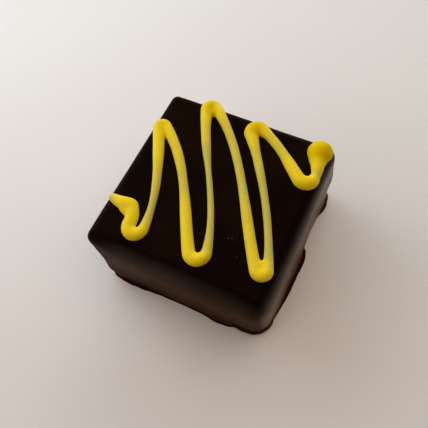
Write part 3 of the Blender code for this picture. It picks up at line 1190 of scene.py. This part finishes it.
@dataclass
class Flecks:
    """The few tiny pale flecks that lie on the chocolate near its front corner, as (x, y, size)."""

    finish: bpy.types.Material
    level: float = 17.33
    spots: tuple[Circle, ...] = (
        (5.5, -6.1, 0.15), (6.0, -5.9, 0.17), (6.7, -5.9, 0.11), (7.8, -8.1, 0.12), (9.2, -13.0, 0.10),
    )
    length: float = 1.5
    flatness: float = 0.35
    seed: int = 4

    SIZE = "fleck_size"

    def build(self) -> bpy.types.Object:
        """Makes the flecks.

        Returns:
            The piece.
        """
        mesh = bpy.data.meshes.new("fleck_spots")
        mesh.from_pydata([(x * MM, y * MM, self.level * MM) for x, y, _ in self.spots], [], [])
        sizes = [size * MM for _, _, size in self.spots]
        mesh.attributes.new(self.SIZE, "FLOAT", "POINT").data.foreach_set("value", sizes)
        piece = linked_object("pale_flecks", mesh)
        self.scatter().run(piece)
        return piece

    def scatter(self) -> GeometryRecipe:
        """The Geometry Nodes tree that lays a small flat crumb, turned at random, on every spot.

        Returns:
            The tree.
        """
        recipe = GeometryRecipe("fleck_scatter")
        length = recipe.size("Length", self.length)
        flatness = recipe.size("Flatness", self.flatness)
        crumb = recipe.add("GeometryNodeMeshIcoSphere", {"Radius": 0.5, "Subdivisions": 2})
        any_turn = {"Max": (0.0, 0.0, 2.0 * math.pi), "Seed": self.seed}
        turn = recipe.add("FunctionNodeRandomValue", any_turn, data_type="FLOAT_VECTOR")
        size = recipe.named(self.SIZE)
        long = recipe.maths("MULTIPLY", size, length)
        flat = recipe.maths("MULTIPLY", size, flatness)
        scale = recipe.add("ShaderNodeCombineXYZ", {"X": long, "Y": size, "Z": flat})
        feeds = {"Points": recipe.start.outputs["Geometry"], "Instance": crumb.outputs[0]}
        laid = recipe.add("GeometryNodeInstanceOnPoints", feeds)
        recipe.feed(laid.inputs["Rotation"], turn.outputs[0])
        recipe.feed(laid.inputs["Scale"], scale.outputs[0])
        recipe.end(laid.outputs[0], self.finish)
        return recipe


@dataclass(frozen=True)
class Lamp:
    """One soft square lamp that doesn't show in polished surfaces.

    It hangs at an azimuth, with 0 in front of the -Y side and 90 at the +X side, and at an elevation, in
    degrees. Its power is in watts.
    """

    name: str
    azimuth: float
    elevation: float
    power: float
    colour: Colour = (0.92, 0.98, 1.0)
    distance: float = 250.0
    size: float = 220.0


LAMPS: tuple[Lamp, ...] = (
    Lamp("left_window", 262.0, 24.0, 0.29),
    Lamp("rear_window", 200.0, 20.0, 0.255),
    Lamp("rear_right_window", 160.0, 20.0, 0.15),
    Lamp("near_lamp", 250.0, 45.0, 0.035, distance=140.0, size=100.0),
    Lamp("warm_ceiling", 120.0, 70.0, 0.25, (1.0, 0.76, 0.60)),
    Lamp("warm_fill", 320.0, 20.0, 0.18, (1.0, 0.75, 0.66)),
    Lamp("front_ceiling", 350.0, 60.0, 0.05, (1.0, 0.95, 0.85)),
)


@dataclass
class Studio:
    """The pale table, the soft lamps and the camera above the front corner."""

    table_finish: bpy.types.Material
    lamps: tuple[Lamp, ...] = LAMPS
    table_side: float = 1600.0
    elevation: float = 64.038
    azimuth: float = 38.583
    roll: float = 13.635
    distance: float = 71.49
    target: tuple[float, float, float] = (-0.623, -0.230, 8.654)
    lens: float = 36.0
    sensor: float = 36.0
    wall_glow: Colour = (0.04, 0.035, 0.03)
    ceiling_glow: Colour = (0.02, 0.018, 0.016)
    ceiling_from: float = 0.6
    toe: float = 0.03
    toe_levels: tuple[float, ...] = (0.01, 0.02, 0.04, 0.08, 0.16, 0.4)

    def axes(self) -> tuple[Vector, Vector, Vector]:
        """The way that the camera is turned.

        Returns:
            Its right, up and backward directions.
        """
        roll = math.radians(self.roll)
        back = seen_from(self.azimuth, self.elevation)
        level = Vector((0.0, 0.0, 1.0)).cross(back).normalized()
        rise = back.cross(level)
        right = math.cos(roll) * level - math.sin(roll) * rise
        up = math.sin(roll) * level + math.cos(roll) * rise
        return right, up, back

    def camera(self) -> None:
        """Sets up the camera at the photograph's angle."""
        data = bpy.data.cameras.new("camera")
        data.lens = self.lens
        data.sensor_width = self.sensor
        data.clip_start = 1.0 * MM
        right, up, back = self.axes()
        made = bpy.data.objects.new("camera", data)
        turned = Matrix((right, up, back)).transposed().to_4x4()
        made.matrix_world = Matrix.Translation(MM * (Vector(self.target) + self.distance * back)) @ turned
        bpy.context.scene.collection.objects.link(made)
        bpy.context.scene.camera = made

    def table(self) -> None:
        """Lays the table top."""
        half = 0.5 * self.table_side * MM
        corners = [(-half, -half, 0.0), (half, -half, 0.0), (half, half, 0.0), (-half, half, 0.0)]
        mesh = bpy.data.meshes.new("table_top")
        mesh.from_pydata(corners, [], [(0, 1, 2, 3)])
        mesh.materials.append(self.table_finish)
        linked_object("table_top", mesh)

    def hang(self, lamp: Lamp) -> None:
        """Hangs one lamp so that it faces the candy.

        Args:
            lamp: The lamp.
        """
        data = bpy.data.lights.new(lamp.name, "AREA")
        data.size = lamp.size * MM
        data.energy = lamp.power
        data.color = lamp.colour
        away = seen_from(lamp.azimuth, lamp.elevation)
        made = bpy.data.objects.new(lamp.name, data)
        made.rotation_euler = away.to_track_quat("Z", "Y").to_euler()
        made.location = away * lamp.distance * MM
        made.visible_glossy = False
        bpy.context.scene.collection.objects.link(made)

    def room(self) -> None:
        """A dim room: pale low down, where the walls are, and dark above."""
        world = bpy.data.worlds.new("room")
        world.use_nodes = True
        bpy.context.scene.world = world
        sheet = NodeSheet(world.node_tree)
        way = sheet.add("ShaderNodeTexCoord").outputs["Generated"]
        height = sheet.add("ShaderNodeSeparateXYZ", {"Vector": way}).outputs["Z"]
        share = sheet.spread(height, 0.0, self.ceiling_from)
        colour = sheet.blend(share, (*self.wall_glow, 1.0), (*self.ceiling_glow, 1.0))
        sheet.feed(world.node_tree.nodes["Background"].inputs["Color"], colour)

    def print_darks(self) -> None:
        """Lets the darkest tones fall away softly, as a small camera does."""
        view = bpy.context.scene.view_settings
        view.view_transform = "Standard"
        view.use_curve_mapping = True
        curve = view.curve_mapping.curves[ALL_COLOURS]
        for level in self.toe_levels:
            curve.points.new(level, level - self.toe * (1.0 - math.exp(-level / self.toe)))
        curve.points[-1].location = (1.0, 1.0 - self.toe)
        view.curve_mapping.extend = "EXTRAPOLATED"
        view.curve_mapping.update()

    def build(self) -> None:
        """Sets the stage."""
        self.table()
        self.room()
        for lamp in self.lamps:
            self.hang(lamp)
        self.camera()
        self.print_darks()
        log.info("studio set")


def main() -> None:
    """Builds the candy and its stage."""
    logging.basicConfig(level=logging.INFO, format="%(name)s: %(message)s")
    hand_over(Coating(ChocolateFinish().build()).build())
    hand_over(IcingLine(IcingFinish().build()).build())
    hand_over(Flecks(FleckFinish().build()).build())
    Studio(TableFinish().build()).build()


if __name__ == "__main__":
    main()
